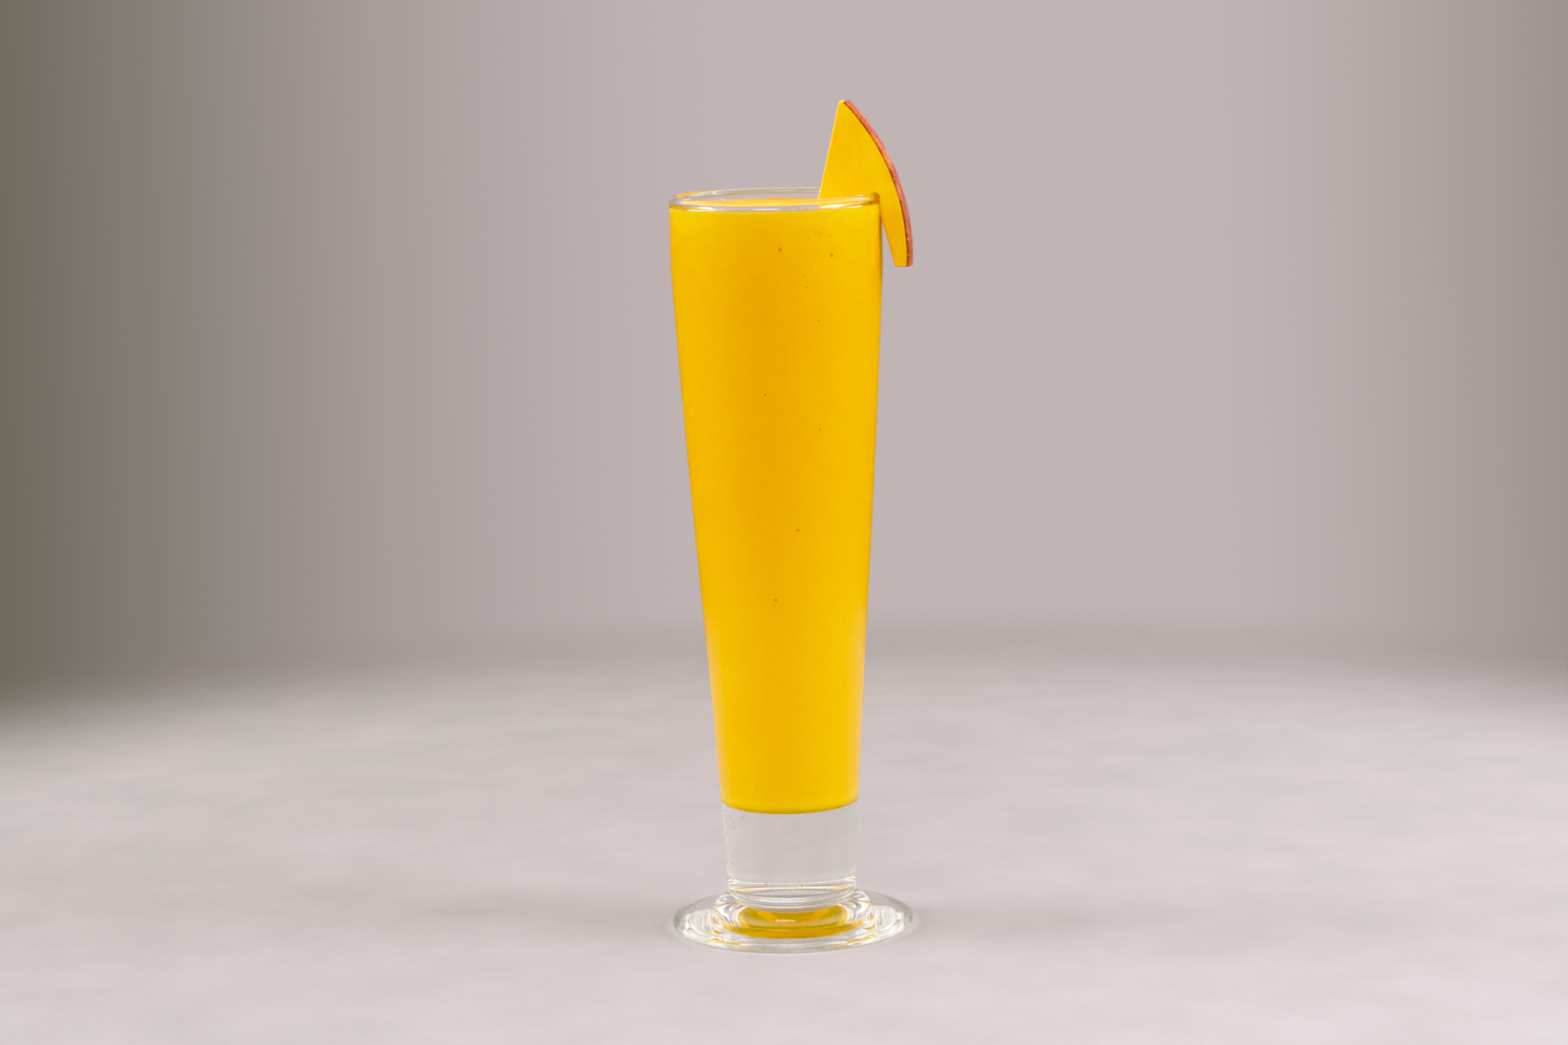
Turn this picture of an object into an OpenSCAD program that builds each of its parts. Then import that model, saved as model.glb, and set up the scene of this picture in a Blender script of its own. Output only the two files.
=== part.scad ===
// Mango smoothie in a tall footed glass, with a mango wedge slit onto the rim.
// The origin is at the centre of the foot's underside, with +Z up along the glass's axis.

/* [Glass] */
// Height of the glass from the table to the crown of the rim
glass_h = 235; // [170:1:290]
// Outer diameter of the nearly straight band below the rim
rim_d = 66.8; // [54:0.1:84]
// Height of that band, the rim's bead included
band_h = 23; // [15:0.5:30]
// Thickness of the wall along the band
wall_t = 2.5; // [2:0.1:3.4]
// Thickness of the round bead along the rim
bead_t = 3.5; // [2.6:0.1:4]
// Thickness of the wall where it meets the inside floor
wall_base_t = 4.6; // [3:0.1:6.5]
// Height of the inside floor above the table, which is the solid base
floor_h = 40; // [30:0.5:55]
// Radius of the corner between the inside floor and the wall
floor_round = 3.5; // [2:0.1:10]
// How far the side bows out above its middle, and in below it
side_sway = 0.25; // [0:0.05:0.6]

/* [Stem] */
// Diameter of the body at its lower end
stem_d = 41.2; // [34:0.1:50]
// Height of the body's lower end above the table
stem_z = 13.2; // [11.5:0.1:20]
// How far the moulded ring below the body stands out past it
ring_proud = 0.1; // [-0.4:0.1:0.6]
// Thickness of that ring
ring_t = 1.8; // [1:0.1:2.4]
// Depth of the groove between the ring and the foot, measured in from the body
groove_in = 1; // [0.5:0.1:2]

/* [Foot] */
// Diameter of the foot
foot_d = 77.6; // [62:0.1:95]
// Thickness of the foot's rounded edge
foot_edge_t = 3.1; // [2.4:0.1:4.5]
// Outer diameter of the domed collar that carries the stem
collar_d = 51.6; // [46:0.1:60]
// Height of the foot's upper face where it meets the collar
collar_z = 4; // [3.2:0.1:6]
// Height of the collar's top above the table
collar_top = 9.6; // [8:0.1:10.5]
// Diameter of the domed hollow pressed into the underside, below the stem
hollow_d = 32; // [20:0.5:40]
// Depth of that hollow
hollow_depth = 3.2; // [1:0.1:4]

/* [Smoothie] */
// Distance from the crown of the rim down to the drink's surface
fill_drop = 4.25; // [4.2:0.05:40]
// Clearance between the drink and what it touches
fill_gap = 0.05; // [0.02:0.01:0.2]

/* [Mango wedge] */
// Thickness of the slice
slice_t = 9; // [6:0.1:14]
// Height of the slice's tip above the crown of the rim
tip_rise = 28.6; // [18:0.1:36]
// Width of the slice's flat tip, across from the inner cut to the skin
tip_w = 2.4; // [0.5:0.1:4]
// Depth of the slice's cut end below the crown of the rim
end_drop = 23.3; // [14:0.1:30]
// Distance from the middle of the bead out to the skin, at its widest
skin_reach = 11; // [9.5:0.1:15]
// Height of the skin's widest place, measured from the crown of the rim
skin_belly = -19; // [-26:0.5:-8]
// Radius of the skin along the slice
skin_r = 69.2; // [50:0.1:90]
// Radius of the fruit across the slice, at its widest
fruit_r = 38; // [30:0.5:50]
// Lean of the straight inner cut from the vertical
inner_lean = 13.5; // [6:0.5:20]
// Distance from the middle of the bead out to the outer leg's cut end
leg_cut = 6.3; // [4.5:0.1:8]
// Clearance between the slit and the glass
slit_gap = 0.2; // [0.1:0.05:0.5]
// Direction round the rim in which the slice sits, towards the front
seat_turn = 4; // [0:1:20]
// Direction in which the slice points outwards, towards the front
slice_turn = 10; // [0:1:20]

/* [Hidden] */
$fn = 128;

side_steps = 24;                            // straight steps in each curved side
corner_steps = 8;                           // straight steps round the floor's corner
bead_r = bead_t / 2;
bead_z = glass_h - bead_r;
band_z = glass_h - band_h;
bead_mid_r = rim_d / 2 - bead_r;            // the bead's outer side is flush with the band
foot_edge_r = foot_edge_t / 2;
ring_r = ring_t / 2;
ring_out = stem_d / 2 + ring_proud;
groove_r = stem_d / 2 - groove_in;
ring_z = stem_z - ring_t * 0.8;             // the ring tucks up under the body
fill_z = glass_h - fill_drop;
skin_mid_x = skin_reach - skin_r;           // centre of the skin's long arc, from the bead's middle
cut_len = tip_rise + end_drop;              // height of the whole slice
overrun = 5;                                // how far a cutter runs past what it cuts

// Radius of the glass's outer side at height z
function outer_r(z) =
    let (t = min(1, max(0, (z - stem_z) / (band_z - stem_z))))
    stem_d / 2 + (rim_d - stem_d) / 2 * t - side_sway * sin(360 * t);

// Thickness of the wall at height z
function wall_at(z) =
    let (t = min(1, max(0, (z - floor_h) / (band_z - floor_h))))
    wall_base_t + (wall_t - wall_base_t) * sqrt(t);

// Radius of the glass's inner side at height z
function inner_r(z) = outer_r(z) - wall_at(z);

function step_z(z0, z1, i) = z0 + (z1 - z0) * i / side_steps;

// Points up the outer side, from the stem to the bead
function outer_side(grow) = [
    for (i = [0 : side_steps]) let (z = step_z(stem_z, band_z, i)) [outer_r(z) + grow, z],
    [rim_d / 2 + grow, bead_z]
];

// Points up the inner side, from the floor's corner to the bead
function inner_side(grow) = [
    for (i = [0 : side_steps])
        let (z = step_z(floor_h + floor_round, band_z, i)) [inner_r(z) - grow, z],
    [rim_d / 2 - wall_t - grow, bead_z]
];

// Points along the floor's rounded corner, from the floor up to the side
function floor_corner(grow) =
    let (corner_x = inner_r(floor_h + floor_round) - grow - floor_round)
    [for (i = [0 : corner_steps - 1]) let (a = 90 * i / corner_steps)
        [corner_x + floor_round * sin(a), floor_h + floor_round + grow - floor_round * cos(a)]];

// Half section of the inside, shrunk by grow, up to height top
module inside_section(grow, top) {
    intersection() {
        polygon(concat(
            [[0, floor_h + grow]],
            floor_corner(grow),
            inner_side(grow),
            [[inner_r(band_z) - grow, glass_h + overrun], [0, glass_h + overrun]]
        ));
        square([rim_d, top]);
    }
}

// Half section of the foot, from its rounded edge in to the collar
module foot_section() {
    polygon([
        [0, 0],
        [foot_d / 2 - foot_edge_r, 0],
        [foot_d / 2 - foot_edge_r, foot_edge_t],
        [collar_d / 2, collar_z],
        [0, collar_z]
    ]);
    translate([foot_d / 2 - foot_edge_r, foot_edge_r]) circle(foot_edge_r);
    // the collar is a quarter of an oval standing on the foot
    polygon([
        [0, 0],
        for (i = [0 : side_steps]) let (a = 90 * i / side_steps)
            [groove_r + (collar_d / 2 - groove_r) * cos(a),
             collar_z + (collar_top - collar_z) * sin(a)],
        [0, collar_top]
    ]);
}

// Half section of the stem, ring and solid body
module body_section() {
    square([groove_r, stem_z]);
    translate([ring_out - ring_r, ring_z]) circle(ring_r);
    translate([0, ring_z - ring_r]) square([ring_out - ring_r, ring_t]);
    polygon(concat([[0, stem_z]], outer_side(0), [[0, bead_z]]));
}

// Section of the rim's bead, thicker all round by grow
module bead_section(grow) {
    translate([bead_mid_r, bead_z]) circle(bead_r + grow);
}

// Half section of the domed hollow under the stem
module hollow_section() {
    hollow_r = hollow_d / 2;
    dome_r = (hollow_r * hollow_r + hollow_depth * hollow_depth) / (2 * hollow_depth);
    intersection() {
        translate([0, hollow_depth - dome_r]) circle(dome_r, $fn = 360);
        translate([0, -1]) square([hollow_r, hollow_depth + 2]);
    }
}

module glass() {
    color([0.86, 0.93, 0.9, 0.35])
        rotate_extrude()
            difference() {
                union() {
                    foot_section();
                    body_section();
                    bead_section(0);
                }
                difference() {
                    inside_section(0, glass_h + overrun);
                    bead_section(0);
                }
                hollow_section();
            }
}

// Places what follows on the bead's middle under the slice, with +X out along the slice
module at_seat() {
    rotate([0, 0, -seat_turn])
        translate([bead_mid_r, 0, glass_h])
            rotate([0, 0, seat_turn - slice_turn])
                children();
}

// The slice before it is slit, larger all round by grow
module whole_slice(grow) {
    at_seat()
        intersection() {
            translate([skin_reach - fruit_r, 0, skin_belly])
                rotate_extrude()
                    intersection() {
                        translate([fruit_r - skin_r, 0]) circle(skin_r + grow, $fn = 360);
                        translate([0, -2 * cut_len]) square([fruit_r + 2 * grow, 4 * cut_len]);
                    }
            rotate([90, 0, 0])
                linear_extrude(slice_t + 2 * grow, center = true)
                    slice_outline(grow);
        }
}

// Outline of the slice in its own plane: the flat tip, the straight inner cut, the flat end and, past the
// skin, a margin
module slice_outline(grow) {
    tip_x = skin_mid_x + sqrt(skin_r * skin_r - pow(tip_rise - skin_belly, 2));
    inner_run = tan(inner_lean);
    inner_top = tip_x - tip_w + grow * inner_run - grow / cos(inner_lean);
    polygon([
        [inner_top, tip_rise + grow],
        [inner_top - (cut_len + 2 * grow) * inner_run, -end_drop - grow],
        [skin_reach + overrun, -end_drop - grow],
        [skin_reach + overrun, tip_rise + grow]
    ]);
}

// What the slit leaves clear: the bead, and below it a straight band as wide, with slit_gap on both sides
module slit_band() {
    rotate_extrude() {
        translate([rim_d / 2 - bead_t - slit_gap, bead_z - cut_len])
            square([bead_t + 2 * slit_gap, cut_len]);
        bead_section(slit_gap);
    }
}

// The room between the wall and the outer leg, which stands off from the glass
module leg_relief() {
    at_seat()
        rotate([90, 0, 0])
            linear_extrude(slice_t + 2 * overrun, center = true)
                polygon([
                    [0, 0],
                    [0, -end_drop - overrun],
                    [leg_cut * (end_drop + overrun) / end_drop, -end_drop - overrun]
                ]);
}

module mango_wedge() {
    color([0.99, 0.8, 0.08])
        difference() {
            whole_slice(0);
            slit_band();
            leg_relief();
        }
}

module smoothie() {
    color([0.98, 0.77, 0.05])
        difference() {
            rotate_extrude() inside_section(fill_gap, fill_z);
            whole_slice(fill_gap);
        }
}

glass();
smoothie();
mango_wedge();
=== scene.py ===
"""Mango smoothie in a tall footed glass, with a mango wedge slit onto the rim.

Everything is in metres in the model's own frame: the origin is under the middle of the foot and +Z runs up
the glass's axis. Sizes are written in millimetres at the top and multiplied by MM.
"""

import math
import random

import bmesh
import bpy
from mathutils import Matrix, Vector, noise


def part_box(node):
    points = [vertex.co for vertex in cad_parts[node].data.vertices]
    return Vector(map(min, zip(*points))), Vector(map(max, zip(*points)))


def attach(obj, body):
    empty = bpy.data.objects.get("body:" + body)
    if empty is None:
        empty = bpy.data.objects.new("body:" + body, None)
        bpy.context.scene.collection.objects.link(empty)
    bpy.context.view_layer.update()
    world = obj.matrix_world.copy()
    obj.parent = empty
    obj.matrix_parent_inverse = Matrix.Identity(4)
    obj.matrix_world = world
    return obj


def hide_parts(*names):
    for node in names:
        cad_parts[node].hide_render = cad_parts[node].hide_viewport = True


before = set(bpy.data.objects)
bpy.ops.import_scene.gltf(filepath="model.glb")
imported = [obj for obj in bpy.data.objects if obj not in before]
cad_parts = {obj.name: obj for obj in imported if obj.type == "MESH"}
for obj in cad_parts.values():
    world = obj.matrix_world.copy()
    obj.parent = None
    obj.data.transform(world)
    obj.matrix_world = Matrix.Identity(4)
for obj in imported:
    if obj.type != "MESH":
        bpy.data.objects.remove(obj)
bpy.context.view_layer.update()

MM = 0.001

# ---------------------------------------------------------------------------
# Sizes of the glass, the drink and the wedge, as the solid model has them
# ---------------------------------------------------------------------------

GLASS_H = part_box("glass")[1].z
FOOT_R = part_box("glass")[1].x
FILL_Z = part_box("smoothie")[1].z

RIM_R = 33.4 * MM
BAND_Z = GLASS_H - 23 * MM
WALL_T = 2.5 * MM
BEAD_R = 1.75 * MM
BEAD_Z = GLASS_H - BEAD_R
BEAD_MID_R = RIM_R - BEAD_R
WALL_BASE_T = 4.6 * MM
FLOOR_Z = 40 * MM
FLOOR_ROUND = 3.5 * MM
SIDE_SWAY = 0.25 * MM

STEM_R = 20.6 * MM
STEM_Z = 13.2 * MM
RING_R = 0.9 * MM
RING_OUT = STEM_R + 0.1 * MM
RING_Z = STEM_Z - 1.6 * RING_R
GROOVE_R = STEM_R - 1 * MM
FOOT_EDGE_R = 1.55 * MM
COLLAR_R = 25.8 * MM
COLLAR_Z = 4 * MM
COLLAR_TOP = 9.6 * MM
HOLLOW_R = 16 * MM
HOLLOW_DEPTH = 3.2 * MM

SLICE_T = 9 * MM
TIP_RISE = 28.6 * MM
TIP_W = 2.4 * MM
END_DROP = 23.3 * MM
SKIN_REACH = 11 * MM
SKIN_BELLY = -19 * MM
SKIN_R = 69.2 * MM
FRUIT_R = 38 * MM
INNER_LEAN = math.radians(13.5)
LEG_CUT = 6.3 * MM
SEAT_TURN = math.radians(4)
SLICE_TURN = math.radians(10)

# ---------------------------------------------------------------------------
# Sizes that only the visual pieces have
# ---------------------------------------------------------------------------

TURN_STEPS = 224          # faces round the glass and the drink

# Seeds in the solid base: (turn in degrees from the front towards +X, height, radius)
SEEDS = (
    (-24, 17.1 * MM, 0.55 * MM),
    (9, 16.9 * MM, 0.60 * MM),
    (-1, 15.7 * MM, 0.40 * MM),
    (4, 15.9 * MM, 0.30 * MM),
)
SEED_DEPTH = 2.2          # how far a seed's middle lies inside the glass, in its own radii

INTO_WALL = 0.13 * MM     # how far the drink reaches into the wall, so that no air shows between them
MENISCUS = 0.7 * MM       # how far the drink creeps up the wall
CREEP_W = 3.2 * MM        # how far in from the wall that slope is modelled
RIPPLE = 0.12 * MM        # unevenness of the drink's surface

# The largest air bubbles against the wall: (turn in degrees from the front, distance below the rim, radius)
LARGE_BUBBLES = (
    (2, 15.2 * MM, 1.1 * MM),
    (32, 17.6 * MM, 1.1 * MM),
    (-7, 125 * MM, 1.2 * MM),
    (10, 103 * MM, 0.9 * MM),
    (-9, 60 * MM, 0.7 * MM),
    (25, 71.5 * MM, 0.7 * MM),
)
CLUSTER_BUBBLES = 26      # up at the right
STRAY_BUBBLES = 22        # all over the front
FROTH_BUBBLES = 46        # low at the left
BUBBLE_DEPTH = 0.4        # a bubble's depth against its width
BUBBLE_PROUD = 0.02 * MM  # how far a bubble's middle lies out past the drink's side

DEW_DROPS = 130
DEW_TURN = -66            # middle of the dewy patch, in degrees from the front
DEW_SPREAD = 9            # how far it thins out to each side, in degrees

RIND_T = 0.8 * MM
PRESSED_ON = 0.2 * MM     # how far the flesh is pressed into the bead, so that no air shows between them
FLESH_LAYERS = 12         # across the slice's thickness
FLESH_VOXEL = 0.28 * MM   # fineness of the flesh's mesh
SKIN_ROWS = 220           # along the slice
SKIN_COLUMNS = 28         # across it


# ---------------------------------------------------------------------------
# Small helpers
# ---------------------------------------------------------------------------

def clamp(value, low=0.0, high=1.0):
    return max(low, min(high, value))


def arc(mid_x, mid_z, radius, start, end, steps):
    """Points (x, z) on an arc, its ends included; the angles are in degrees from +X towards +Z."""
    points = []
    for i in range(steps + 1):
        a = math.radians(start + (end - start) * i / steps)
        points.append((mid_x + radius * math.cos(a), mid_z + radius * math.sin(a)))
    return points


def add_object(name, mesh):
    piece = bpy.data.objects.new(name, mesh)
    bpy.context.scene.collection.objects.link(piece)
    return piece


def mesh_from(bm, name, smooth_faces=True):
    for face in bm.faces:
        face.smooth = smooth_faces
    mesh = bpy.data.meshes.new(name)
    bm.to_mesh(mesh)
    bm.free()
    return mesh


def spin_profile(bm, points):
    """Turns a half section, given as (radius, height) points, once round the Z axis."""
    verts = [bm.verts.new((x, 0, z)) for x, z in points]
    edges = [bm.edges.new(pair) for pair in zip(verts, verts[1:])]
    bmesh.ops.spin(
        bm, geom=verts + edges, cent=(0, 0, 0), axis=(0, 0, 1),
        angle=2 * math.pi, steps=TURN_STEPS, use_merge=True, use_duplicate=False,
    )
    bmesh.ops.remove_doubles(bm, verts=bm.verts, dist=0.002 * MM)
    bmesh.ops.recalc_face_normals(bm, faces=bm.faces)


def linear(red, green, blue):
    """A screen colour, 0 to 255, as the linear values that shaders take."""
    def channel(value):
        value = value / 255
        return value / 12.92 if value <= 0.04045 else ((value + 0.055) / 1.055) ** 2.4
    return channel(red), channel(green), channel(blue)


def keep(piece, slot, *nodes):
    """The piece belongs to the glass's body and stands for the nodes, which it hides; slot is not used."""
    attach(piece, "root")
    if nodes:
        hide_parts(*nodes)


# ---------------------------------------------------------------------------
# Materials
# ---------------------------------------------------------------------------

TOP_OF_SIDE = linear(253, 194, 48)
TOP_SURFACE = linear(228, 148, 34)
# painted light: the drink is painted paler just above its inside floor, lightening the shade there
DRINK_FLOOR_LIGHT = linear(255, 203, 56)
FLOOR_SLOPE = 1.4                       # how much faster the painted light on the floor grows to the right than to the front
# painted light: how much paler the floor is painted at the front right
FLOOR_LIGHT_FRONT_RIGHT = (1.27, 1.25, 1.28)
FLOOR_LIGHT_UNDER_FOOT = (1.6, 1.6, 1.58)     # makes up for light that isn't carried through the glass
FLOOR_CLEAR = 0.34                      # how far out the floor starts to fade
FLOOR_END = 0.62                        # how far out it has gone


class Shader:
    """A material's node tree, with short ways to add the few nodes that the finishes here use."""

    def __init__(self, name):
        self.material = bpy.data.materials.new(name)
        self.material.use_nodes = True
        self.tree = self.material.node_tree
        self.tree.nodes.clear()
        self.out = self.node("ShaderNodeOutputMaterial")
        self.coords = self.node("ShaderNodeTexCoord")

    def node(self, kind, **values):
        made = self.tree.nodes.new(kind)
        for name, value in values.items():
            setattr(made, name, value)
        return made

    def link(self, source, target):
        self.tree.links.new(source, target)

    def principled(self, **values):
        made = self.node("ShaderNodeBsdfPrincipled")
        for name, value in values.items():
            made.inputs[name.replace("_", " ")].default_value = value
        self.link(made.outputs["BSDF"], self.out.inputs["Surface"])
        return made

    def spot(self, scale, detail=3.0, stretch=(1, 1, 1), roughness=0.5, distortion=0.0):
        """Noise on the piece's own coordinates, about one feature to each 1/scale metres."""
        mapping = self.node("ShaderNodeMapping")
        mapping.inputs["Scale"].default_value = stretch
        self.link(self.coords.outputs["Object"], mapping.inputs["Vector"])
        made = self.node("ShaderNodeTexNoise")
        made.inputs["Scale"].default_value = scale
        made.inputs["Detail"].default_value = detail
        made.inputs["Roughness"].default_value = roughness
        made.inputs["Distortion"].default_value = distortion
        self.link(mapping.outputs["Vector"], made.inputs["Vector"])
        return made.outputs["Fac"]

    def ramp(self, source, stops):
        """A colour from a value, blended evenly between the stops."""
        made = self.node("ShaderNodeValToRGB")
        elements = made.color_ramp.elements
        while len(elements) < len(stops):
            elements.new(0.5)
        for element, (place, colour) in zip(elements, stops):
            element.position = place
            element.color = (*colour, 1)
        self.link(source, made.inputs["Fac"])
        return made.outputs["Color"]

    def spread(self, source, low, high, from_low=0.0, from_high=1.0):
        """The source's range from from_low to from_high, spread evenly over low to high."""
        made = self.node("ShaderNodeMapRange")
        made.inputs["From Min"].default_value = from_low
        made.inputs["From Max"].default_value = from_high
        made.inputs["To Min"].default_value = low
        made.inputs["To Max"].default_value = high
        self.link(source, made.inputs["Value"])
        return made.outputs["Result"]

    def blend(self, factor, first, second, mode="MIX"):
        """The first colour going over to the second; each value is a number, a colour or an output."""
        made = self.node("ShaderNodeMix", data_type="RGBA", blend_type=mode)
        sockets = made.inputs[0], made.inputs[6], made.inputs[7]
        for value, socket in zip((factor, first, second), sockets):
            if isinstance(value, (int, float)):
                socket.default_value = value
            elif isinstance(value, tuple):
                socket.default_value = (*value, 1)
            else:
                self.link(value, socket)
        return made.outputs[2]

    def maths(self, operation, first, second=0.0):
        """One sum on two values, each a number or an output."""
        made = self.node("ShaderNodeMath", operation=operation)
        for value, socket in ((first, made.inputs[0]), (second, made.inputs[1])):
            if isinstance(value, (int, float)):
                socket.default_value = value
            else:
                self.link(value, socket)
        return made.outputs[0]

    def bump(self, height, distance, strength=1.0):
        """A normal that follows the height, with relief of distance metres."""
        made = self.node("ShaderNodeBump")
        made.inputs["Distance"].default_value = distance
        made.inputs["Strength"].default_value = strength
        self.link(height, made.inputs["Height"])
        return made.outputs["Normal"]

    def position(self):
        """The piece's own X, Y and Z, in metres."""
        made = self.node("ShaderNodeSeparateXYZ")
        self.link(self.coords.outputs["Object"], made.inputs["Vector"])
        return made.outputs["X"], made.outputs["Y"], made.outputs["Z"]


def clear_glass():
    """Pressed soda glass: clear, faintly green in its depth, with a slightly wavy fire-polished skin."""
    shader = Shader("clear_glass")
    surface = shader.principled(
        Base_Color=(1, 1, 1, 1), IOR=1.52, Transmission_Weight=1.0, Roughness=0.0,
    )
    faint_smears = shader.spot(60, detail=4.0, stretch=(1, 1, 0.3))
    shader.link(shader.spread(faint_smears, 0.0, 0.025, 0.5, 0.75), surface.inputs["Roughness"])
    waves = shader.spot(90, detail=1.0, stretch=(1, 1, 0.35))
    shader.link(shader.bump(waves, 0.00004), surface.inputs["Normal"])
    depth = shader.node("ShaderNodeVolumeAbsorption")
    depth.inputs["Color"].default_value = (0.9, 0.92, 0.62, 1)
    depth.inputs["Density"].default_value = 2.2
    shader.link(depth.outputs["Volume"], shader.out.inputs["Volume"])
    return shader.material


def mango_drink(name, wet, top):
    """Thick blended mango, golden yellow with fine pulp. It has the colour top near its surface, and is
    painted paler at the inside floor, painted light that lightens the shade there; wet is how strongly it
    shines."""
    shader = Shader(name)
    surface = shader.principled(Roughness=0.32, IOR=1.34, Specular_IOR_Level=wet)
    height = shader.position()[2]
    pulp = shader.spot(900, detail=4.0)
    drift = shader.spot(28, detail=2.0, stretch=(1, 1, 0.5))
    body = shader.ramp(pulp, [
        (0.3, linear(252, 187, 48)),
        (0.7, linear(254, 194, 54)),
    ])
    settled = shader.blend(shader.spread(drift, 0.0, 0.5, 0.35, 0.7), body, linear(252, 183, 42))
    near_top = shader.spread(height, 0.0, 1.0, FILL_Z - 16 * MM, FILL_Z)
    # painted light: paler colour near the inside floor, where the drink would be shaded
    near_floor = shader.spread(height, 1.0, 0.0, FLOOR_Z + 0.5 * MM, FLOOR_Z + 6 * MM)
    floor_lit = shader.blend(near_floor, settled, DRINK_FLOOR_LIGHT)
    shader.link(shader.blend(near_top, floor_lit, top), surface.inputs["Base Color"])
    shader.link(shader.spread(pulp, 0.28, 0.4), surface.inputs["Roughness"])
    shader.link(shader.bump(pulp, 0.00008, 0.6), surface.inputs["Normal"])
    return shader.material


def bubble_finish(name, pale, deep):
    """A bubble's ring or middle: the drink's colour, made paler for a painted highlight or deeper for
    painted shade.
    """
    shader = Shader(name)
    surface = shader.principled(Roughness=0.35, IOR=1.34, Specular_IOR_Level=0.2)
    tone = shader.ramp(shader.spot(700, detail=2.0), [(0.35, pale), (0.65, deep)])
    shader.link(tone, surface.inputs["Base Color"])
    shader.link(shader.spread(shader.spot(900, detail=2.0), 0.3, 0.4), surface.inputs["Roughness"])
    shader.link(shader.bump(shader.spot(1200, detail=2.0), 0.00004, 0.4), surface.inputs["Normal"])
    return shader.material


def dew_drop():
    """Clear water."""
    shader = Shader("dew_drop")
    surface = shader.principled(Base_Color=(1, 1, 1, 1), IOR=1.33, Transmission_Weight=1.0, Roughness=0.0)
    shader.link(shader.spread(shader.spot(300, detail=2.0), 0.0, 0.02), surface.inputs["Roughness"])
    shader.link(shader.bump(shader.spot(1500, detail=1.0), 0.00002, 0.5), surface.inputs["Normal"])
    return shader.material


def ripe_flesh():
    """Cut ripe mango: moist, bright yellow, with faint fibres along the slice."""
    shader = Shader("ripe_flesh")
    surface = shader.principled(
        Roughness=0.45, IOR=1.36, Specular_IOR_Level=0.35, Subsurface_Weight=0.4, Subsurface_Scale=0.0025,
    )
    surface.inputs["Subsurface Radius"].default_value = (1.0, 0.55, 0.08)
    fibres = shader.spot(420, detail=5.0, stretch=(1, 1, 0.25), distortion=0.6)
    clouds = shader.spot(110, detail=3.0)
    cut = shader.ramp(fibres, [
        (0.3, linear(223, 162, 42)),
        (0.7, linear(229, 171, 46)),
    ])
    shader.link(
        shader.blend(shader.spread(clouds, 0.0, 0.5, 0.4, 0.7), cut, linear(232, 178, 50)),
        surface.inputs["Base Color"],
    )
    shader.link(shader.spread(clouds, 0.3, 0.48), surface.inputs["Roughness"])
    shader.link(shader.bump(fibres, 0.0002, 0.5), surface.inputs["Normal"])
    return shader.material


def blushed_skin():
    """Mango skin: salmon pink, going to dusky pink below, flecked with red and with paler pores."""
    shader = Shader("blushed_skin")
    surface = shader.principled(Roughness=0.42, IOR=1.42, Subsurface_Weight=0.1, Subsurface_Scale=0.0006)
    surface.inputs["Subsurface Radius"].default_value = (1.0, 0.4, 0.3)
    height = shader.position()[2]
    patches = shader.spot(150, detail=3.0)
    upper = shader.ramp(patches, [
        (0.35, linear(200, 118, 62)),
        (0.52, linear(168, 66, 52)),
        (0.66, linear(142, 42, 42)),
    ])
    lower = shader.ramp(patches, [
        (0.35, linear(162, 82, 80)),
        (0.60, linear(134, 48, 52)),
    ])
    near_end = shader.spread(height, 1.0, 0.0, GLASS_H - 5 * MM, GLASS_H + 20 * MM)
    blush = shader.blend(near_end, upper, lower)
    flecks = shader.spread(shader.spot(900, detail=4.0), 0.0, 0.9, 0.52, 0.66)
    flecked = shader.blend(flecks, blush, linear(112, 24, 26))
    pores = shader.spread(shader.spot(1100, detail=1.0, stretch=(1.3, 1, 1)), 0.0, 0.8, 0.62, 0.72)
    shader.link(shader.blend(pores, flecked, linear(198, 122, 98)), surface.inputs["Base Color"])
    shader.link(shader.spread(flecks, 0.36, 0.5), surface.inputs["Roughness"])
    shader.link(shader.bump(shader.spot(700, detail=3.0), 0.0002, 0.5), surface.inputs["Normal"])
    return shader.material


def cut_rind():
    """The rind where the knife went through: olive orange at the tip and dark red lower down."""
    shader = Shader("cut_rind")
    surface = shader.principled(Roughness=0.45, IOR=1.38)
    height = shader.position()[2]
    patches = shader.spot(620, detail=3.0, stretch=(1, 1, 0.45))
    dark = shader.ramp(patches, [
        (0.36, linear(176, 92, 54)),
        (0.46, linear(140, 54, 34)),
        (0.62, linear(104, 26, 22)),
    ])
    at_tip = shader.spread(height, 0.0, 1.0, GLASS_H + 20 * MM, GLASS_H + 25 * MM)
    shader.link(shader.blend(at_tip, dark, linear(170, 100, 36)), surface.inputs["Base Color"])
    shader.link(shader.spread(patches, 0.35, 0.55), surface.inputs["Roughness"])
    shader.link(shader.bump(patches, 0.0001, 0.5), surface.inputs["Normal"])
    return shader.material


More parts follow.
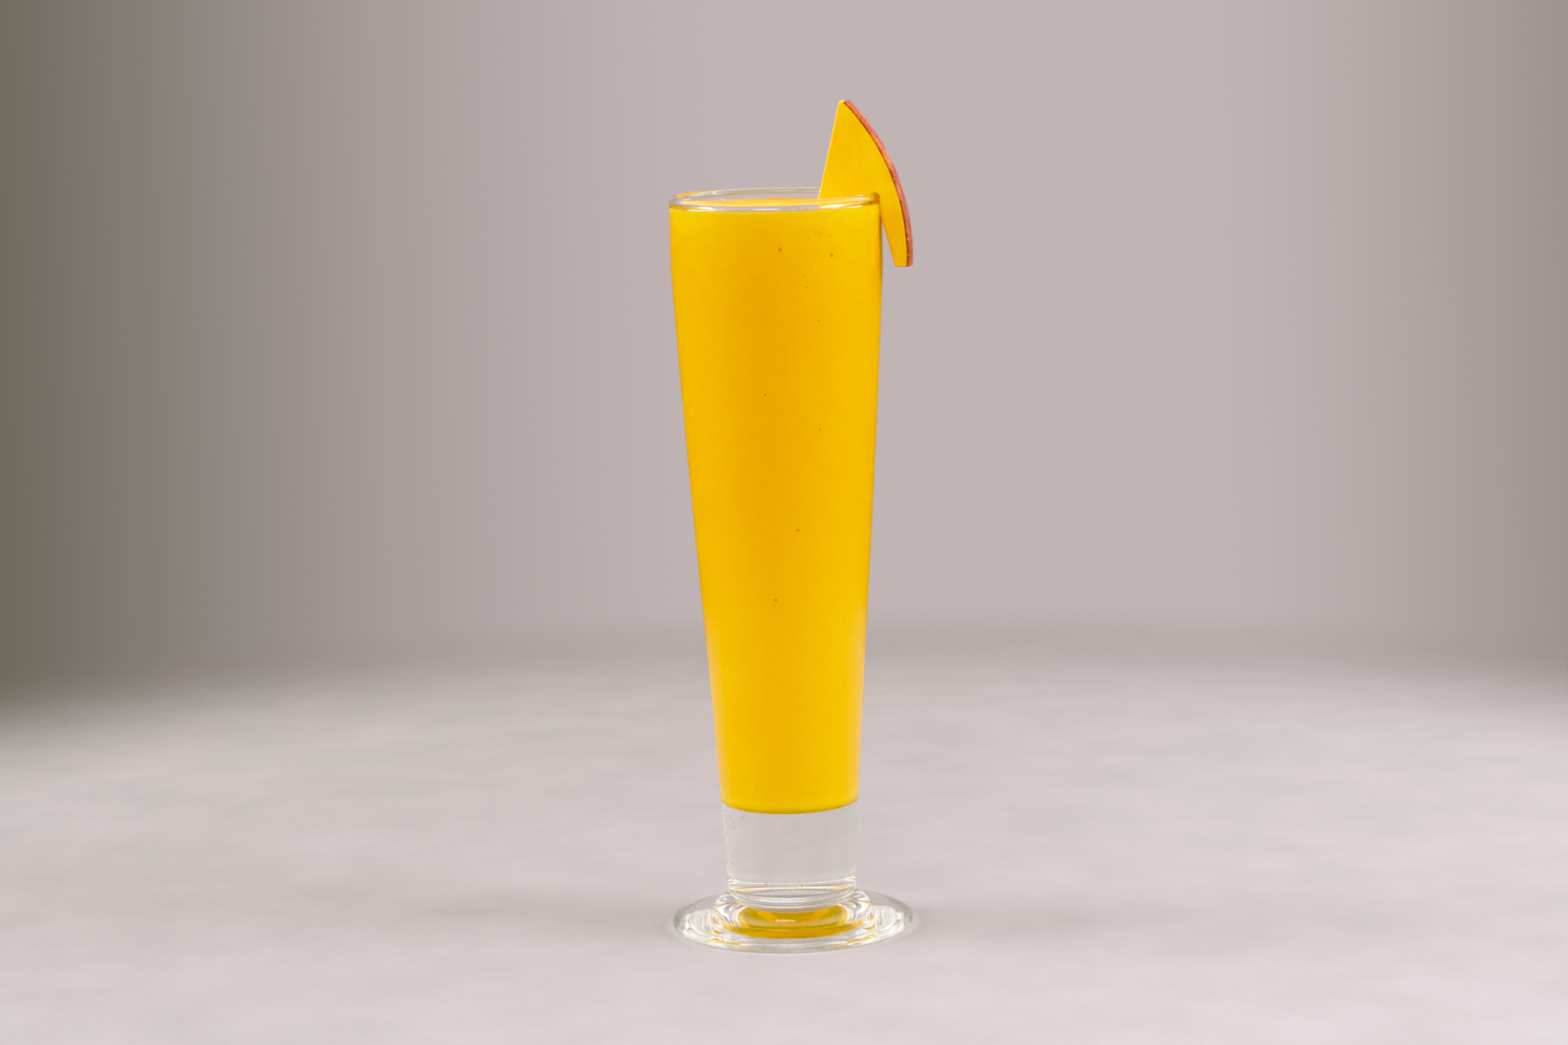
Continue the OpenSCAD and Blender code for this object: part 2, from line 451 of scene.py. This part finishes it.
def pale_floor():
    """A matt pale tabletop that fades out round its edge, with painted light: paler to the front right, and
    paler under the foot to make up for light that isn't carried through the glass.
    """
    shader = Shader("pale_floor")
    surface = shader.node("ShaderNodeBsdfPrincipled")
    surface.inputs["Roughness"].default_value = 0.75
    surface.inputs["Specular IOR Level"].default_value = 0.25
    grain = shader.spot(26, detail=7.0, roughness=0.62)
    tone = shader.ramp(grain, [
        (0.35, linear(129, 124, 128)),
        (0.65, linear(135, 129, 133)),
    ])
    x, y = shader.position()[:2]
    # painted light: the floor is painted paler towards the front right, standing in for stronger light
    # there
    across = shader.maths("SUBTRACT", shader.maths("MULTIPLY", x, FLOOR_SLOPE), y)
    paler = shader.spread(across, 0.0, 1.0, -0.45, 0.35)
    lit_front_right = shader.blend(paler, tone, FLOOR_LIGHT_FRONT_RIGHT, "MULTIPLY")
    squares = shader.maths("ADD", shader.maths("MULTIPLY", x, x), shader.maths("MULTIPLY", y, y))
    reach = shader.maths("SQRT", squares)
    # painted light: the floor under the foot is painted paler, making up for light that isn't carried
    # through the glass
    under_foot = shader.spread(reach, 1.0, 0.0, FOOT_R - 2 * MM, FOOT_R + 3 * MM)
    lit_through = shader.blend(under_foot, lit_front_right, FLOOR_LIGHT_UNDER_FOOT, "MULTIPLY")
    shader.link(lit_through, surface.inputs["Base Color"])
    shader.link(shader.bump(shader.spot(300, detail=5.0), 0.0006, 0.25), surface.inputs["Normal"])
    edge = shader.node("ShaderNodeMapRange", interpolation_type="SMOOTHSTEP")
    edge.inputs["From Min"].default_value = FLOOR_CLEAR
    edge.inputs["From Max"].default_value = FLOOR_END
    shader.link(reach, edge.inputs["Value"])
    clear = shader.node("ShaderNodeBsdfTransparent")
    mixed = shader.node("ShaderNodeMixShader")
    shader.link(edge.outputs["Result"], mixed.inputs[0])
    shader.link(surface.outputs["BSDF"], mixed.inputs[1])
    shader.link(clear.outputs["BSDF"], mixed.inputs[2])
    shader.link(mixed.outputs["Shader"], shader.out.inputs["Surface"])
    return shader.material


# ---------------------------------------------------------------------------
# The glass
# ---------------------------------------------------------------------------

def outer_radius(z):
    """Radius of the body's outer side, which tapers with a slight double curve up to the straight band."""
    t = clamp((z - STEM_Z) / (BAND_Z - STEM_Z))
    return STEM_R + (RIM_R - STEM_R) * t - SIDE_SWAY * math.sin(2 * math.pi * t)


def wall_at(z):
    """Thickness of the wall, which thins quickly above the inside floor."""
    t = clamp((z - FLOOR_Z) / (BAND_Z - FLOOR_Z))
    return WALL_BASE_T + (WALL_T - WALL_BASE_T) * math.sqrt(t)


def inner_radius(z):
    return outer_radius(z) - wall_at(z)


def side_points(radius_at, low, high, steps):
    """Half section of a side between two heights, both included."""
    heights = [low + (high - low) * i / steps for i in range(steps + 1)]
    return [(radius_at(z), z) for z in heights]


def inside_points(reach, top):
    """Half section of the inside from the middle of its floor up to height top, larger by reach."""
    corner_z = FLOOR_Z + FLOOR_ROUND
    corner_x = inner_radius(corner_z) + reach - FLOOR_ROUND
    floor = [(0, FLOOR_Z - reach), (corner_x * 0.5, FLOOR_Z - reach)]
    corner = arc(corner_x, corner_z - reach, FLOOR_ROUND, -90, 0, 14)
    side = side_points(lambda z: inner_radius(z) + reach, corner_z, min(top, BAND_Z), 60)
    points = floor + corner + side[1:]
    if top > BAND_Z:
        points.append((RIM_R - WALL_T + reach, top))
    return points


def foot_points():
    """Half section of the foot from the middle of its underside round its edge and up to the groove."""
    dome_r = (HOLLOW_R ** 2 + HOLLOW_DEPTH ** 2) / (2 * HOLLOW_DEPTH)
    sweep = math.degrees(math.asin(HOLLOW_R / dome_r))
    hollow = arc(0, HOLLOW_DEPTH - dome_r, dome_r, 90, 90 - sweep, 24)
    edge = arc(FOOT_R - FOOT_EDGE_R, FOOT_EDGE_R, FOOT_EDGE_R, -90, 90, 20)
    collar = []
    steps = 20
    for i in range(steps + 1):
        a = math.radians(90 * i / steps)
        across = GROOVE_R + (COLLAR_R - GROOVE_R) * math.cos(a)
        up = COLLAR_Z + (COLLAR_TOP - COLLAR_Z) * math.sin(a)
        collar.append((across, up))
    return hollow + edge + collar


def stem_points():
    """Half section of the groove and of the moulded ring, up to the body's lower end."""
    ring = arc(RING_OUT - RING_R, RING_Z, RING_R, -90, 55, 14)
    return [(GROOVE_R, COLLAR_TOP + 0.4 * MM), (GROOVE_R, RING_Z - RING_R - 0.2 * MM)] + ring


def out_at(turn):
    """Level direction away from the glass's axis; turn is in degrees, from the front towards +X."""
    return Vector((math.sin(math.radians(turn)), -math.cos(math.radians(turn)), 0))


def rim_points():
    """Half section of the bead, from the outer side over the crown to the inner side of the wall."""
    meets = math.degrees(math.acos((RIM_R - WALL_T - BEAD_MID_R) / BEAD_R))
    return arc(BEAD_MID_R, BEAD_Z, BEAD_R, 0, 360 - meets, 40)


def make_glass(material):
    """The whole glass, turned in one piece, with a few seeds, the tiny bubbles that pressed glass traps."""
    inside = inside_points(0, BEAD_Z - 3 * MM)
    inside.reverse()
    points = foot_points()
    points += stem_points()
    points += side_points(outer_radius, STEM_Z + 0.6 * MM, BAND_Z, 70)
    points += [(RIM_R, BAND_Z + (BEAD_Z - BAND_Z) * i / 6) for i in range(1, 6)]
    points += rim_points()
    points += inside
    bm = bmesh.new()
    spin_profile(bm, points)
    for turn, height, size in SEEDS:
        middle = out_at(turn) * (outer_radius(height) - SEED_DEPTH * size) + Vector((0, 0, height))
        made = bmesh.ops.create_uvsphere(
            bm, u_segments=18, v_segments=10, radius=size, matrix=Matrix.Translation(middle),
        )
        faces = {face for vert in made["verts"] for face in vert.link_faces}
        bmesh.ops.reverse_faces(bm, faces=list(faces))
    piece = add_object("footed_glass", mesh_from(bm, "footed_glass"))
    piece.data.materials.append(material)
    keep(piece, "clear_glass", "glass")


# ---------------------------------------------------------------------------
# The drink
# ---------------------------------------------------------------------------

def make_drink(body, surface):
    """The drink, which fills the glass to just into its wall and creeps a little way up it."""
    points = inside_points(INTO_WALL, FILL_Z - 0.2 * MM)
    side = RIM_R - WALL_T + INTO_WALL
    points.append((side, FILL_Z + MENISCUS - 0.1 * MM))
    creep_steps = 8
    for i in range(creep_steps + 1):
        back = CREEP_W * (i / creep_steps) ** 1.5
        points.append((side - INTO_WALL - back, FILL_Z + MENISCUS * math.exp(-back / MENISCUS)))
    flat_steps = 18
    for i in range(1, flat_steps):
        points.append(((side - CREEP_W - 0.2 * MM) * (1 - i / flat_steps), FILL_Z))
    points.append((0, FILL_Z))
    bm = bmesh.new()
    spin_profile(bm, points)
    for vert in bm.verts:
        if vert.co.z > FILL_Z - 0.05 * MM:
            lift = noise.noise(vert.co * 110) + 0.5 * noise.noise(vert.co * 260)
            vert.co.z += RIPPLE * lift
    for face in bm.faces:
        on_top = face.calc_center_median().z > FILL_Z - 0.15 * MM and face.normal.z > 0.2
        face.material_index = 1 if on_top else 0
    piece = add_object("mango_smoothie", mesh_from(bm, "mango_smoothie"))
    piece.data.materials.append(body)
    piece.data.materials.append(surface)
    keep(piece, "mango_smoothie", "smoothie")


def bubble_places():
    """Every air bubble against the wall, as (turn, distance below the rim, radius): the large ones, a
    cluster up at the right, strays, and froth at the left."""
    draw = random.Random(11)
    places = list(LARGE_BUBBLES)
    for _ in range(CLUSTER_BUBBLES):
        turn = draw.gauss(10, 14)
        below_rim = draw.uniform(8, 38) * MM
        places.append((turn, below_rim, draw.uniform(0.2, 0.6) * MM))
    for _ in range(STRAY_BUBBLES):
        turn = draw.uniform(-60, 60)
        below_rim = draw.uniform(8, 180) * MM
        places.append((turn, below_rim, draw.uniform(0.18, 0.4) * MM))
    for _ in range(FROTH_BUBBLES):
        turn = draw.uniform(-78, -50)
        below_rim = draw.gauss(128, 14) * MM
        places.append((turn, below_rim, draw.uniform(0.12, 0.3) * MM))
    return places


def add_bubble(bm, turn, height, size):
    """One bubble as it shows through the wall: a pale ring of painted highlight round a darker middle of
    painted shade, both flat against the glass."""
    part = bmesh.new()
    ring = [part.verts.new((x, 0, z)) for x, z in arc(size * 0.78, 0, size * 0.2, 0, 300, 5)]
    edges = [part.edges.new(pair) for pair in zip(ring, ring[1:] + ring[:1])]
    bmesh.ops.spin(
        part, geom=ring + edges, cent=(0, 0, 0), axis=(0, 0, 1),
        angle=2 * math.pi, steps=18, use_merge=True, use_duplicate=False,
    )
    middle = bmesh.ops.create_uvsphere(part, u_segments=12, v_segments=6, radius=size * 0.56)
    for vert in middle["verts"]:
        for face in vert.link_faces:
            face.material_index = 1
    bmesh.ops.recalc_face_normals(part, faces=part.faces)
    out = out_at(turn)
    place = out * (inner_radius(height) + INTO_WALL + BUBBLE_PROUD) + Vector((0, 0, height))
    turned = out.to_track_quat("Z", "Y").to_matrix().to_4x4()
    part.transform(Matrix.Translation(place) @ turned @ Matrix.Diagonal((1, 1, BUBBLE_DEPTH, 1)))
    mesh = bpy.data.meshes.new("bubble")
    part.to_mesh(mesh)
    part.free()
    bm.from_mesh(mesh)
    bpy.data.meshes.remove(mesh)


def make_bubbles(ring, middle):
    """All the bubbles in the drink, as one piece."""
    bm = bmesh.new()
    for turn, below_rim, size in bubble_places():
        add_bubble(bm, turn, GLASS_H - below_rim, size)
    piece = add_object("air_bubbles", mesh_from(bm, "air_bubbles"))
    piece.data.materials.append(ring)
    piece.data.materials.append(middle)
    keep(piece, "mango_smoothie")


def make_dew(material):
    """Fine drops of condensation on the outside of the solid base and low on the body, at the left."""
    draw = random.Random(4)
    bm = bmesh.new()
    for _ in range(DEW_DROPS):
        turn = draw.gauss(DEW_TURN, DEW_SPREAD)
        height = draw.uniform(17, 39) * MM
        size = draw.uniform(0.1, 0.32) * MM
        out = out_at(turn)
        place = out * outer_radius(height) + Vector((0, 0, height))
        turned = out.to_track_quat("Z", "Y").to_matrix().to_4x4()
        shape = Matrix.Translation(place) @ turned @ Matrix.Diagonal((1, 1.15, 0.6, 1))
        bmesh.ops.create_uvsphere(bm, u_segments=12, v_segments=8, radius=size, matrix=shape)
    piece = add_object("dew", mesh_from(bm, "dew"))
    piece.data.materials.append(material)
    keep(piece, "clear_glass")


# ---------------------------------------------------------------------------
# The wedge
# ---------------------------------------------------------------------------

def wedge_frame():
    """Places the slice on the bead: X runs out along the slice, Z up from the crown of the rim."""
    seat = Matrix.Rotation(-SEAT_TURN, 4, "Z") @ Matrix.Translation((BEAD_MID_R, 0, GLASS_H))
    return seat @ Matrix.Rotation(SEAT_TURN - SLICE_TURN, 4, "Z")


def skin_at(across, up, inset=0.0):
    """Distance of the skin from the bead's middle, out along the slice, on the barrel-shaped fruit."""
    belly = SKIN_R - inset
    barrel = FRUIT_R - SKIN_R + math.sqrt(belly ** 2 - (up - SKIN_BELLY) ** 2)
    return SKIN_REACH - FRUIT_R + math.sqrt(barrel ** 2 - across ** 2)


def bead_at(across):
    """Where the middle of the bead crosses the slice, at a distance across it from its middle plane."""
    turn = SLICE_TURN - SEAT_TURN
    axis_out = -BEAD_MID_R * math.cos(turn)
    axis_across = -BEAD_MID_R * math.sin(turn)
    return axis_out + math.sqrt(BEAD_MID_R ** 2 - (across - axis_across) ** 2)


def inner_cut_at(up):
    """Distance of the straight inner cut from the bead's middle, out along the slice."""
    tip_x = SKIN_REACH - SKIN_R + math.sqrt(SKIN_R ** 2 - (TIP_RISE - SKIN_BELLY) ** 2)
    return tip_x - TIP_W - (TIP_RISE - up) * math.tan(INNER_LEAN)


def slice_loop(across):
    """Outline of the flesh at one distance across the slice, anticlockwise from the tip, as (out, up)."""
    inset = RIND_T * 0.75
    half = BEAD_R - PRESSED_ON
    mid = bead_at(across)
    steps = 40
    slit_steps = 12
    points = []
    for i in range(steps + 1):
        up = TIP_RISE - (TIP_RISE + END_DROP) * i / steps
        points.append((inner_cut_at(up), up))
    points.append((mid - half, -END_DROP))
    points.append((mid - half, -BEAD_R))
    for point in arc(mid, -BEAD_R, half, 180, 0, 16)[1:]:
        points.append(point)
    for i in range(slit_steps + 1):
        up = -BEAD_R - 0.6 * MM + (BEAD_R + 0.6 * MM - END_DROP) * i / slit_steps
        relief = LEG_CUT * -up / END_DROP
        points.append((max(mid + half, relief), up))
    for i in range(steps):
        up = -END_DROP + (TIP_RISE + END_DROP) * i / steps
        points.append((skin_at(across, up, inset), up))
    return points


def loop_edges(bm, loop):
    """The edges round a closed loop of vertices, made where they are missing."""
    edges = []
    for pair in zip(loop, loop[1:] + loop[:1]):
        edges.append(bm.edges.get(pair) or bm.edges.new(pair))
    return edges


def make_flesh(material):
    """The slice's flesh, cut from its outline in thin layers across its thickness and softened all over."""
    bm = bmesh.new()
    half = SLICE_T / 2 - 0.03 * MM
    loops = []
    for layer in range(FLESH_LAYERS + 1):
        across = -half + 2 * half * layer / FLESH_LAYERS
        loops.append([bm.verts.new((x, across, z)) for x, z in slice_loop(across)])
    for first, second in zip(loops, loops[1:]):
        bmesh.ops.bridge_loops(bm, edges=loop_edges(bm, first) + loop_edges(bm, second))
    bm.faces.new(loops[0])
    bm.faces.new(loops[-1])
    bmesh.ops.recalc_face_normals(bm, faces=bm.faces)
    rough = add_object("rough_slice", mesh_from(bm, "rough_slice", False))
    remesh = rough.modifiers.new("even", "REMESH")
    remesh.mode = "VOXEL"
    remesh.voxel_size = FLESH_VOXEL
    depsgraph = bpy.context.evaluated_depsgraph_get()
    even = bpy.data.meshes.new_from_object(rough.evaluated_get(depsgraph))
    bpy.data.objects.remove(rough)
    bm = bmesh.new()
    bm.from_mesh(even)
    bmesh.ops.smooth_vert(
        bm, verts=bm.verts, factor=0.5, use_axis_x=True, use_axis_y=True, use_axis_z=True,
    )
    bm.normal_update()
    for vert in bm.verts:
        grain = Vector((vert.co.x * 500, vert.co.y * 500, vert.co.z * 160))
        swell = 0.05 * MM * noise.noise(vert.co * 160) + 0.03 * MM * noise.noise(grain)
        vert.co += vert.normal * swell
    bm.transform(wedge_frame())
    bpy.data.meshes.remove(even)
    piece = add_object("mango_flesh", mesh_from(bm, "mango_flesh"))
    piece.data.materials.append(material)
    keep(piece, "mango_flesh", "mango_wedge")


def make_skin(outside, cut):
    """The rind along the slice's outer side, a thin shell with softly uneven cut edges."""
    bm = bmesh.new()
    bmesh.ops.create_grid(bm, x_segments=SKIN_COLUMNS, y_segments=SKIN_ROWS, size=1)
    for vert in bm.verts:
        across = vert.co.x * SLICE_T / 2
        up = (TIP_RISE - END_DROP) / 2 + vert.co.y * (TIP_RISE + END_DROP) / 2
        vert.co = Vector((skin_at(across, up), across, up))
    bmesh.ops.recalc_face_normals(bm, faces=bm.faces)
    if sum(face.normal.x for face in bm.faces) < 0:
        bmesh.ops.reverse_faces(bm, faces=bm.faces)
    bmesh.ops.solidify(bm, geom=bm.faces[:], thickness=RIND_T)
    bm.normal_update()
    for face in bm.faces:
        at_edge = abs(face.calc_center_median().y) > SLICE_T / 2 - 0.04 * MM
        face.material_index = 1 if at_edge else 0
    for vert in bm.verts:
        wave = noise.noise(Vector((vert.co.x * 150, vert.co.y * 40, vert.co.z * 320)))
        fine = noise.noise(Vector((vert.co.x * 500, vert.co.y * 300, vert.co.z * 900)))
        vert.co += vert.normal * (0.07 * wave + 0.05 * fine) * MM
    bmesh.ops.recalc_face_normals(bm, faces=bm.faces)
    bm.transform(wedge_frame())
    piece = add_object("mango_skin", mesh_from(bm, "mango_skin"))
    piece.data.materials.append(outside)
    piece.data.materials.append(cut)
    keep(piece, "mango_flesh", "mango_wedge")


# ---------------------------------------------------------------------------
# Floor, light and camera
# ---------------------------------------------------------------------------

# The display curve, as (scene value, shown value), up to the scene value that shows as white.
# The black level is higher in blue, which keeps the yellows saturated.
TONE_POINTS = ((0.2, 0.2), (0.45, 0.45), (0.68, 0.67), (0.86, 0.807), (1.15, 0.915), (1.45, 0.975))
SHOULDER_END = 2.0
BLACK_LEVEL = (0.012, 0.012, 0.078)

# What the eye sees behind the glass
BACKDROP_LEFT = linear(97, 95, 105)
BACKDROP_RIGHT = linear(143, 134, 143)
BACKDROP_MIDDLE = linear(193, 180, 189)

# What reflections and soft light see
LOW_BEHIND = linear(160, 142, 104)
DARK_ROOM = 0.02
LOW_SURROUND = 0.15
UPPER_MIDDLE = 2.3
UPPER_SIDES = 4.0
OVERHEAD = 0.7
SEEN_THROUGH = 0.45       # how much of it is lost to reflections that are seen through glass

# Softboxes: (name, azimuth from the front, elevation, distance, width, height, power, mirrored)
SOFTBOXES = (
    ("left_softbox", -95, 30, 1.1, 0.45, 0.45, 11, False),
    ("right_softbox", 76, 32, 1.1, 0.45, 0.45, 11.5, False),
    ("front_softbox", -14, 50, 1.4, 0.6, 0.4, 3.5, True),
)

# The viewer's place, in metres, and its turns down and round the line of sight, in degrees
VIEWER_PLACE = (0.0003, -1.2439, 0.316)
VIEWER_DOWN = 8.48
VIEWER_ROLL = -1.4
VIEWER_LENS = 90.87


def make_floor():
    """A flat disc just under the foot."""
    bm = bmesh.new()
    bmesh.ops.create_circle(bm, cap_ends=True, segments=96, radius=FLOOR_END + 0.02)
    bmesh.ops.translate(bm, verts=bm.verts, vec=(0, 0, -0.15 * MM))
    floor = add_object("floor", mesh_from(bm, "floor", False))
    floor.data.materials.append(pale_floor())


def make_world():
    """A soft studio. The eye, straight or through clear glass, sees a plain grey pink surround. Reflections
    and light come from a bright upper half, brighter at both sides, and a dark room behind the viewer."""
    world = bpy.data.worlds.new("soft_studio")
    bpy.context.scene.world = world
    world.use_nodes = True
    tree = world.node_tree
    tree.nodes.clear()

    def node(kind, **values):
        made = tree.nodes.new(kind)
        for name, value in values.items():
            setattr(made, name, value)
        return made

    def spread(source, low, high, to_low=0.0, to_high=1.0):
        made = node("ShaderNodeMapRange", interpolation_type="SMOOTHSTEP")
        for name, value in (("From Min", low), ("From Max", high), ("To Min", to_low), ("To Max", to_high)):
            made.inputs[name].default_value = value
        tree.links.new(source, made.inputs["Value"])
        return made.outputs["Result"]

    def maths(operation, first, second):
        made = node("ShaderNodeMath", operation=operation)
        for value, socket in ((first, made.inputs[0]), (second, made.inputs[1])):
            if isinstance(value, (int, float)):
                socket.default_value = value
            else:
                tree.links.new(value, socket)
        return made.outputs[0]

    def blend(factor, first, second):
        made = node("ShaderNodeMix", data_type="RGBA")
        tree.links.new(factor, made.inputs[0])
        for value, socket in ((first, made.inputs[6]), (second, made.inputs[7])):
            if isinstance(value, tuple):
                socket.default_value = (*value, 1)
            else:
                tree.links.new(value, socket)
        return made.outputs[2]

    coords = node("ShaderNodeTexCoord")
    split = node("ShaderNodeSeparateXYZ")
    tree.links.new(coords.outputs["Generated"], split.inputs["Vector"])
    x, y, z = split.outputs["X"], split.outputs["Y"], split.outputs["Z"]
    # the backdrop is palest in the middle, darkest at both edges of the view, and pale again far out
    left = maths("MULTIPLY", spread(x, 0.0, -0.24), spread(x, -0.6, -0.25))
    right = maths("MULTIPLY", spread(x, 0.1, 0.24), spread(x, 0.6, 0.25))
    backdrop = blend(left, BACKDROP_MIDDLE, BACKDROP_LEFT)
    backdrop = blend(right, backdrop, BACKDROP_RIGHT)
    # the studio: y runs away from the viewer, and z up
    front = spread(y, -0.35, -0.8)
    side = spread(maths("ABSOLUTE", x, 0.0), 0.25, 0.85)
    low = blend(front, (LOW_SURROUND,) * 3, (DARK_ROOM,) * 3)
    low = blend(spread(y, 0.55, 0.9), low, LOW_BEHIND)
    high = blend(side, (UPPER_MIDDLE,) * 3, (UPPER_SIDES,) * 3)
    studio = blend(spread(z, 0.0, 0.3), low, high)
    studio = blend(spread(z, 0.5, 0.9), studio, (OVERHEAD,) * 3)
    # the backdrop itself is mirrored too, as a wall behind the glass
    behind = maths("MULTIPLY", spread(y, 0.45, 0.75), spread(z, 0.8, 0.6))
    behind = maths("MULTIPLY", behind, spread(z, -0.1, 0.02))
    studio = blend(behind, studio, BACKDROP_MIDDLE)
    # which of the two a ray sees
    path = node("ShaderNodeLightPath")
    in_glass = maths("MINIMUM", path.outputs["Transmission Depth"], 1.0)
    left_over = maths("SUBTRACT", 1.0, maths("MULTIPLY", in_glass, SEEN_THROUGH))
    mirrored = maths("MULTIPLY", path.outputs["Is Glossy Ray"], left_over)
    lit = maths("MAXIMUM", mirrored, path.outputs["Diffuse Depth"])
    lit = maths("MINIMUM", lit, 1.0)
    background = node("ShaderNodeBackground")
    tree.links.new(blend(lit, backdrop, studio), background.inputs["Color"])
    out = node("ShaderNodeOutputWorld")
    tree.links.new(background.outputs["Background"], out.inputs["Surface"])


def make_softbox(name, azimuth, elevation, distance, width, height, power, mirrored):
    """A rectangular area light that points at the middle of the glass; azimuth 0 is the front."""
    light = bpy.data.lights.new(name, "AREA")
    light.shape = "RECTANGLE"
    light.size = width
    light.size_y = height
    light.energy = power
    light.color = (1.0, 0.98, 0.97)
    lamp = bpy.data.objects.new(name, light)
    bpy.context.scene.collection.objects.link(lamp)
    turn = math.radians(azimuth)
    rise = math.radians(elevation)
    target = Vector((0, 0, GLASS_H * 0.55))
    aim = Vector((math.sin(turn) * math.cos(rise), -math.cos(turn) * math.cos(rise), math.sin(rise)))
    lamp.location = target + aim * distance
    lamp.rotation_euler = aim.to_track_quat("Z", "Y").to_euler()
    lamp.visible_glossy = mirrored


def make_view():
    """A plain display transform with a film-like curve: deep blacks and a soft shoulder."""
    view = bpy.context.scene.view_settings
    view.view_transform = "Standard"
    view.look = "None"
    view.use_curve_mapping = True
    tone = view.curve_mapping
    tone.white_level = (SHOULDER_END,) * 3
    tone.black_level = BLACK_LEVEL
    curve = tone.curves[3]
    curve.points[0].location = (0, 0)
    curve.points[-1].location = (1, 1)
    for scene_value, shown in TONE_POINTS:
        curve.points.new((scene_value - BLACK_LEVEL[0]) / (SHOULDER_END - BLACK_LEVEL[0]), shown)
    tone.update()


def let_light_through():
    """Lets light turn often enough inside the thick foot, where it is reflected many times."""
    cycles = bpy.context.scene.cycles
    cycles.max_bounces = 28
    cycles.glossy_bounces = 24
    cycles.transmission_bounces = 28
    cycles.diffuse_bounces = 6


def make_camera():
    """A long lens a little above the rim, with everything in focus."""
    camera = bpy.data.cameras.new("camera")
    camera.lens = VIEWER_LENS
    camera.sensor_width = 36
    camera.clip_start = 0.05
    viewer = bpy.data.objects.new("camera", camera)
    bpy.context.scene.collection.objects.link(viewer)
    tilt = Matrix.Rotation(math.radians(90 - VIEWER_DOWN), 4, "X")
    roll = Matrix.Rotation(math.radians(VIEWER_ROLL), 4, "Z")
    viewer.matrix_world = Matrix.Translation(VIEWER_PLACE) @ tilt @ roll
    bpy.context.scene.camera = viewer


make_view()
let_light_through()
make_camera()
make_world()
for softbox in SOFTBOXES:
    make_softbox(*softbox)
make_floor()
make_glass(clear_glass())
make_drink(
    mango_drink("mango_drink", 0.05, TOP_OF_SIDE),
    mango_drink("drink_surface", 0.4, TOP_SURFACE),
)
# painted light: each bubble is a pale ring of painted highlight round a darker middle of painted shade
make_bubbles(
    bubble_finish("bubble_highlight_ring", linear(255, 208, 84), linear(254, 200, 64)),
    bubble_finish("bubble_shaded_middle", linear(236, 154, 30), linear(228, 144, 26)),
)
make_dew(dew_drop())
make_flesh(ripe_flesh())
make_skin(blushed_skin(), cut_rind())
